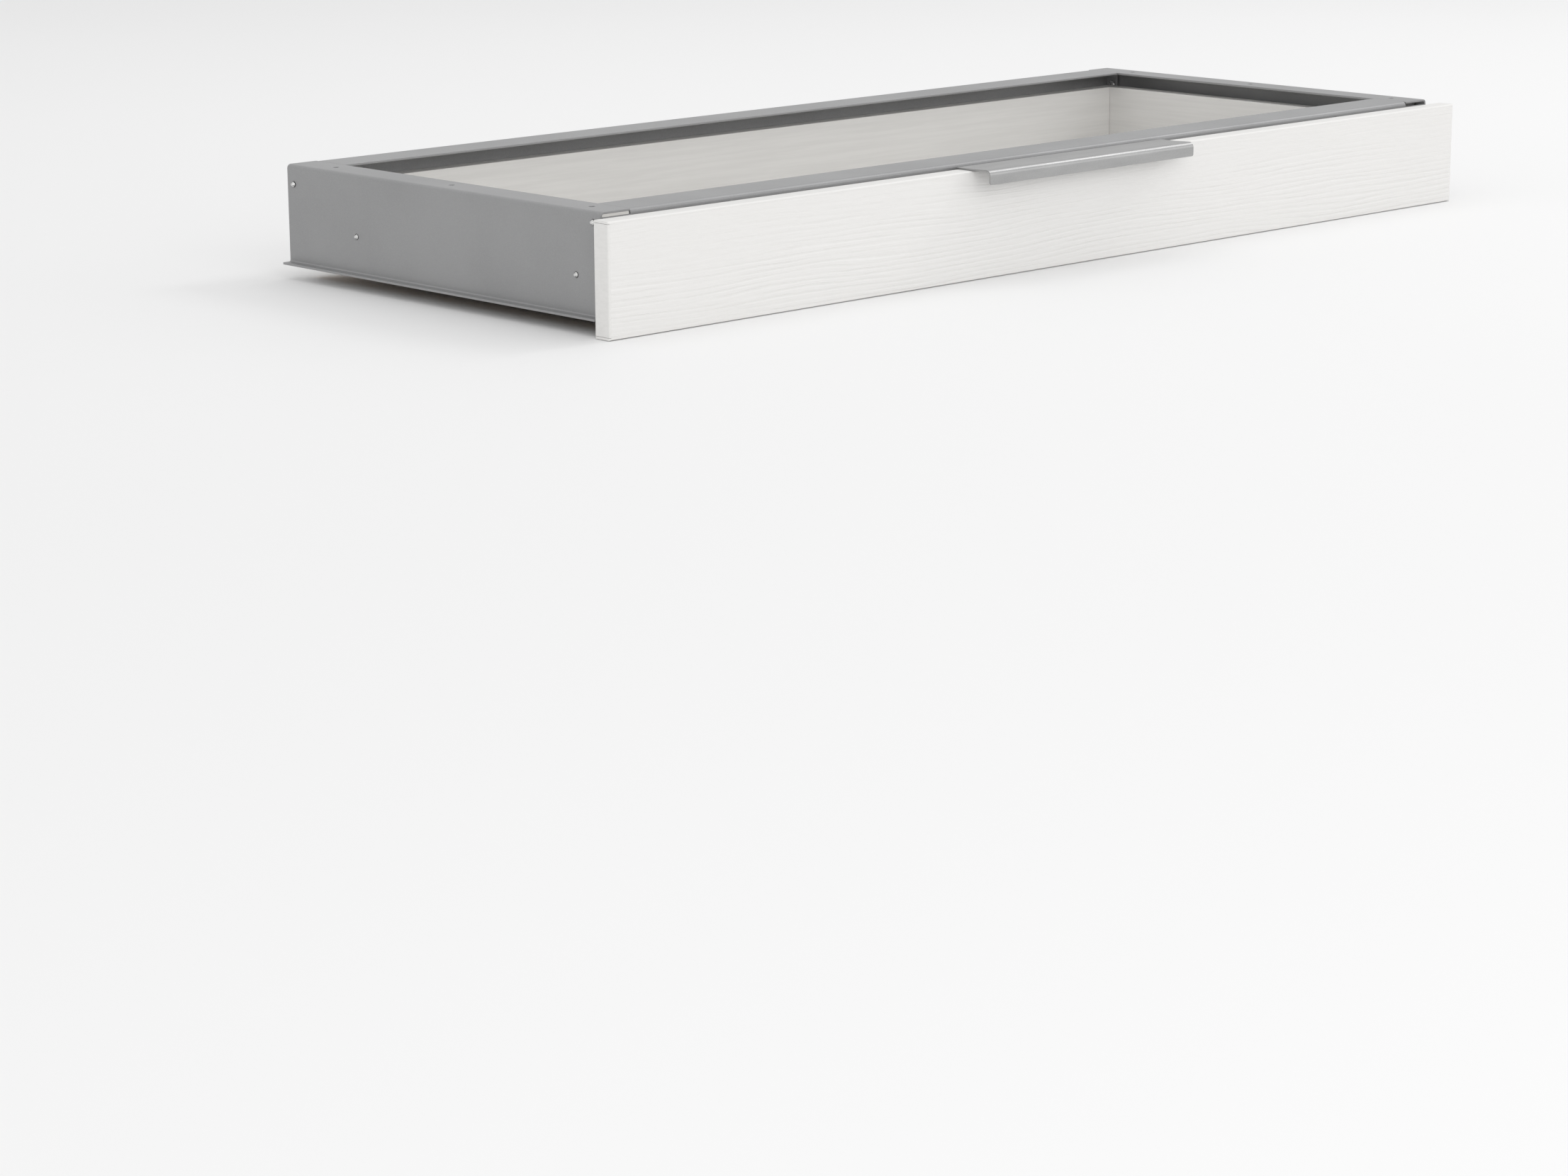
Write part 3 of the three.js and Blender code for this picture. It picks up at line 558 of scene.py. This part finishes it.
def pan_head(radius, height):
    """A domed head: a straight edge with a small chamfer below, then the dome."""
    edge = PAN_EDGE * height
    chamfer = [(radius * 0.94, -height), (radius, -height + 0.08 * height)]
    return chamfer + dome(radius, -height + edge, height - edge)


def flush_head(radius, height):
    """A countersunk head with a short cylinder at its rim."""
    rim = [(radius, -0.22 * height), (radius, -0.05 * height), (radius * 0.96, 0.0)]
    return [(radius * 0.55, -height), *rim]


def cross_cutter(radius, depth):
    """Two crossed wedges that narrow downwards, for a cross recess."""
    def build(shape):
        for turn in (0.0, math.pi / 2):
            made = bmesh.ops.create_cube(shape, size=1.0)["verts"]
            for vertex in made:
                at_top = vertex.co.z > 0
                size = radius if at_top else radius * RECESS_TAPER
                vertex.co = Vector((vertex.co.x * 2 * size, vertex.co.y * RECESS_ARM * size,
                                    depth * CUTTER_RISE if at_top else -depth))
            bmesh.ops.rotate(shape, verts=made, matrix=Matrix.Rotation(turn, 3, "Z"))
    return mesh_of(build)


def screw_mesh(length, core, head):
    """A screw with a threaded shank and a cross recess. Its head's top is the origin, and +Z points
    out of it."""
    blank = mesh_of(lambda shape: turned(shape, screw_rings(length, core, head), SCREW_SIDES))
    head_radius = max(radius for radius, height in head)
    head_height = -head[0][1]
    cutter = cross_cutter(head_radius * RECESS_RADIUS, head_height * RECESS_DEPTH)
    return combined(blank, cutter, "DIFFERENCE", tool_overlaps=True)


# node prefix: (direction out of the head, head height, its form, diameter of the shank's core)
SCREW_KINDS = {
    "pull_screw": ("back", 1.9 * MM, pan_head, 3.0 * MM),
    "front_screw": ("back", 2.2 * MM, pan_head, 4.0 * MM),
    "rail_screw": ("inwards", 2.6 * MM, pan_head, 4.8 * MM),
    "slide_outer_screw": ("inwards", 1.45 * MM, pan_head, 4.8 * MM),
    "slide_inner_screw": ("outwards", 1.9 * MM, pan_head, 4.8 * MM),
    "corner_screw": ("outwards", 3.0 * MM, flush_head, 5.0 * MM),
}


def add_screws():
    for prefix, (direction, head_height, head_form, core) in SCREW_KINDS.items():
        nodes = sorted(n for n in frame["nodes"] if n.startswith(prefix))
        mesh = None
        for number, node in enumerate(nodes):
            low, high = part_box(node)
            size = high - low
            side = 1 if low.x > 0 else -1
            outward = Vector({"back": (0, 1, 0), "inwards": (-side, 0, 0),
                              "outwards": (side, 0, 0)}[direction])
            length = abs(size.dot(outward))
            if mesh is None:
                head_radius = size.z / 2
                mesh = screw_mesh(length, core / 2, head_form(head_radius, head_height))
                mesh.name = prefix
            top = (low + high) / 2 + outward * length / 2
            spin = Matrix.Rotation(math.radians(FIRST_SPIN + SPIN_STEP * number), 4, "Z")
            turn = outward.to_track_quat("Z", "Y").to_matrix().to_4x4()
            piece = add_object(f"{node}_shown", mesh, Matrix.Translation(top) @ turn @ spin)
            finish_piece(piece, node)


# ---------- slides ----------

BALL_RADIUS = 2.0 * MM
BALLS_PER_ROW = 8
BALL_SPACING = 20 * MM
BALL_ROW_FROM_HANGER = 8.5 * MM
RETAINER_SHEET = 0.7 * MM
MEMBER_ROUND = 0.15 * MM
RETAINER_ROUND = 0.08 * MM


def add_balls():
    """Two rows of steel balls in each retainer, one ball in each window."""
    for side_name, side in SIDES.items():
        outer_low, outer_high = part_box(f"slide_outer_{side_name}")
        hanger_face = outer_high.x if side > 0 else outer_low.x
        for row_name in ("outer", "inner"):
            retainer = f"ball_retainer_{row_name}_{side_name}"
            low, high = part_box(retainer)
            first = (low.y + high.y) / 2 - (BALLS_PER_ROW - 1) * BALL_SPACING / 2
            heights = (low.z + RETAINER_SHEET / 2, high.z - RETAINER_SHEET / 2)
            x = hanger_face - side * BALL_ROW_FROM_HANGER

            def build(shape):
                for k in range(BALLS_PER_ROW):
                    for z in heights:
                        spot = Matrix.Translation((x, first + k * BALL_SPACING, z))
                        bmesh.ops.create_icosphere(shape, subdivisions=2, radius=BALL_RADIUS,
                                                   matrix=spot)
            mesh = mesh_of(build)
            mesh.materials.append(BALL_FINISH)
            balls = add_object(f"balls_{row_name}_{side_name}", mesh)
            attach(balls, BODY_OF[retainer])


BUFFER_RIBS = 8
BUFFER_RIB_DEPTH = 1.2 * MM
BUFFER_RIB_HALF = 1.1 * MM  # half its width
BUFFER_ROUND = 0.35 * MM


def add_buffer(side_name):
    """The moulded stop at the back of the fixed member: a block whose front is ribbed."""
    node = f"rear_buffer_{side_name}"
    low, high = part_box(node)
    floor_y = low.y + BUFFER_RIB_DEPTH
    outline = [(floor_y, low.z), (high.y, low.z), (high.y, high.z), (floor_y, high.z)]
    for k in reversed(range(BUFFER_RIBS)):
        z = low.z + (k + 0.5) * (high.z - low.z) / BUFFER_RIBS
        above, below = z + BUFFER_RIB_HALF, z - BUFFER_RIB_HALF
        outline += [(floor_y, above), (low.y, above), (low.y, below), (floor_y, below)]

    def build(shape):
        ends = [[shape.verts.new((x, y, z)) for y, z in outline] for x in (low.x, high.x)]
        for end in ends:
            shape.faces.new(end)
        join_rings(shape, *ends)
    piece = add_object(f"{node}_shown", mesh_of(build))
    soften(piece, BUFFER_ROUND)
    finish_piece(piece, node)


def add_block(shape, low, high):
    centre, size = (low + high) / 2, high - low
    place = Matrix.Translation(centre) @ Matrix.Diagonal((*size, 1.0))
    bmesh.ops.create_cube(shape, size=1.0, matrix=place)


LEVER_RIBS = 4
LEVER_RIB_START = 3.0 * MM  # from the lever's front end to the first rib
LEVER_RIB_PITCH = 2.4 * MM
LEVER_RIB_THICK = 0.9 * MM
LEVER_RIB_HALF = 3.4 * MM  # half the length of the first rib
LEVER_RIB_SHORTER = 0.35 * MM  # and how much less each next one has
LEVER_RIB_SUNK = 0.4 * MM
LEVER_RIB_PROUD = 0.35 * MM
LEVER_ROUND = 0.2 * MM  # wider rounds cross each other beside the stub
LEVER_RIB_ROUND = 0.15 * MM


def rib_span(side, low, high):
    """The X range of the lever's grip ribs, on the face that looks towards the hanger."""
    face = high.x if side > 0 else low.x
    return sorted((face - side * LEVER_RIB_SUNK, face + side * LEVER_RIB_PROUD))


def add_lever(side_name, side):
    """The release lever with grip ribs on the finger pad at its front end."""
    node = f"release_lever_{side_name}"
    low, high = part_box(node)
    middle_z = (low.z + high.z) / 2
    left, right = rib_span(side, low, high)

    def build(shape):
        for k in range(LEVER_RIBS):
            y = low.y + LEVER_RIB_START + LEVER_RIB_PITCH * k
            half = LEVER_RIB_HALF - LEVER_RIB_SHORTER * k
            add_block(shape, Vector((left, y - LEVER_RIB_THICK / 2, middle_z - half)),
                      Vector((right, y + LEVER_RIB_THICK / 2, middle_z + half)))
    plate, ribs = add_object("plate", copied_mesh(node)), add_object("ribs", mesh_of(build))
    round_edges(plate, LEVER_ROUND, 3)
    round_edges(ribs, LEVER_RIB_ROUND, 2)
    piece = add_object(f"{node}_shown", combined(applied(plate), applied(ribs), "UNION"))
    even_shading(piece)
    finish_piece(piece, node)


def add_slides():
    for side_name, side in SIDES.items():
        for member in ("outer", "middle", "inner"):
            refine(f"slide_{member}_{side_name}", MEMBER_ROUND)
        for row in ("outer", "inner"):
            refine(f"ball_retainer_{row}_{side_name}", RETAINER_ROUND, 1)
        add_buffer(side_name)
        add_lever(side_name, side)
    add_balls()


# ---------- front, pull, box and carrier ----------

JOINT_LINE = 0.005 * MM  # the glue line between the front's face and its edge bands
FRONT_ROUND = 0.03 * MM
BAND_ROUND = 0.06 * MM
BOARD_ROUND = 0.5 * MM
PANEL_ROUND = 0.2 * MM
THIN_SHEET_ROUND = 0.3 * MM
SHEET_ROUND = 0.35 * MM
BUMPER_DOME = 0.45  # height of the dome, in the bumper's radius
BUMPER_SIDES = 32


def add_front():
    """The decor board reaches to the bands, which keep their rounded CAD section."""
    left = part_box("edge_band_left")[1].x + JOINT_LINE
    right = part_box("edge_band_right")[0].x - JOINT_LINE
    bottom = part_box("edge_band_bottom")[1].z + JOINT_LINE
    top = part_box("edge_band_top")[0].z - JOINT_LINE
    low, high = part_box("drawer_front")
    corners = Vector((left, low.y, bottom)), Vector((right, high.y, top))
    board = add_object("drawer_front_shown", mesh_of(lambda shape: add_block(shape, *corners)))
    soften(board, FRONT_ROUND, 1)
    finish_piece(board, "drawer_front")
    for place in ("top", "bottom", "left", "right"):
        refine(f"edge_band_{place}", BAND_ROUND, 1)


def add_bumper(side_name):
    """A soft domed pad on the front rail's leg."""
    node = f"front_bumper_{side_name}"
    low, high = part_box(node)
    radius = (high.z - low.z) / 2
    depth = high.y - low.y
    rise = radius * BUMPER_DOME
    profile = [(radius, 0.0), *dome(radius, depth - rise, rise)]
    rings = [(None, 0.0), *[(constant(r), height) for r, height in profile], (None, depth)]
    centre = (low + high) / 2
    turn = Matrix.Rotation(math.radians(90), 4, "X")
    place = Matrix.Translation((centre.x, high.y, centre.z)) @ turn
    mesh = mesh_of(lambda shape: turned(shape, rings, BUMPER_SIDES))
    piece = add_object(f"{node}_shown", mesh, place)
    piece.data.set_sharp_from_angle(angle=SHARP)
    finish_piece(piece, node)


def add_body_pieces():
    add_front()
    refine("edge_pull", THIN_SHEET_ROUND, 3)
    for node in ("box_side_left", "box_side_right", "box_front", "box_back"):
        refine(node, BOARD_ROUND)
    refine("box_bottom", PANEL_ROUND)
    refine("bottom_rail", THIN_SHEET_ROUND)
    for node in ("hanger_left", "hanger_right", "cross_rail_front", "cross_rail_rear"):
        refine(node, SHEET_ROUND)
    for side_name in SIDES:
        add_bumper(side_name)


# ---------- stage ----------

FLOOR_GAP = 0.5 * MM


def add_floor():
    """A plain pale floor just under the drawer."""
    mesh = mesh_of(lambda shape: bmesh.ops.create_grid(shape, x_segments=1, y_segments=1, size=FAR))
    finish = Finish("floor")
    haze = finish.noise(0.6, 2.0)
    colour = finish.blend(haze, (0.88, 0.88, 0.88), (0.91, 0.91, 0.91))
    mesh.materials.append(finish.done(colour, 0.75))
    floor = add_object("floor", mesh, Matrix.Translation((0, 0, CAD_BOX[0].z - FLOOR_GAP)))


SURROUND = 0.78  # strength of the even white light from all round
# name: place, what it is aimed at, its width and height, its power in watts
LIGHTS = {
    "key": ((-1.6, -3.4, 1.5), (0, 0, -0.05), (3.2, 1.8), 27),
    "fill": ((2.8, -2.6, 1.0), (0, 0, -0.05), (2.4, 1.6), 11),
    "overhead": ((0.4, 0.9, 3.2), (0.1, 0.1, -0.05), (3.6, 1.5), 14),
    "rim": ((3.2, -0.6, 3.0), (0.1, 0.0, -0.05), (1.2, 1.2), 26),
}


def add_area_light(name, place, target, size, power):
    data = bpy.data.lights.new(name, "AREA")
    data.shape = "RECTANGLE"
    data.size, data.size_y = size
    data.energy = power
    light = bpy.data.objects.new(name, data)
    aim = (Vector(target) - Vector(place)).to_track_quat("-Z", "Y")
    light.matrix_world = Matrix.LocRotScale(Vector(place), aim, None)
    bpy.context.scene.collection.objects.link(light)


def add_lighting():
    """A key light in front on the left and a weaker fill on the right. The overhead light is behind the
    front's plane, so the pull casts little shade on the front, and the rim light puts the highlight on
    the pull's bend."""
    world = bpy.data.worlds.new("surround")
    bpy.context.scene.world = world
    world.use_nodes = True
    background = world.node_tree.nodes["Background"]
    background.inputs["Color"].default_value = (1.0, 1.0, 1.0, 1.0)
    background.inputs["Strength"].default_value = SURROUND
    for name, settings in LIGHTS.items():
        add_area_light(name, *settings)
    bpy.context.scene.view_settings.view_transform = "Standard"


# ---------- the whole scene ----------

add_camera()
add_body_pieces()
add_slides()
add_screws()
add_floor()
add_lighting()
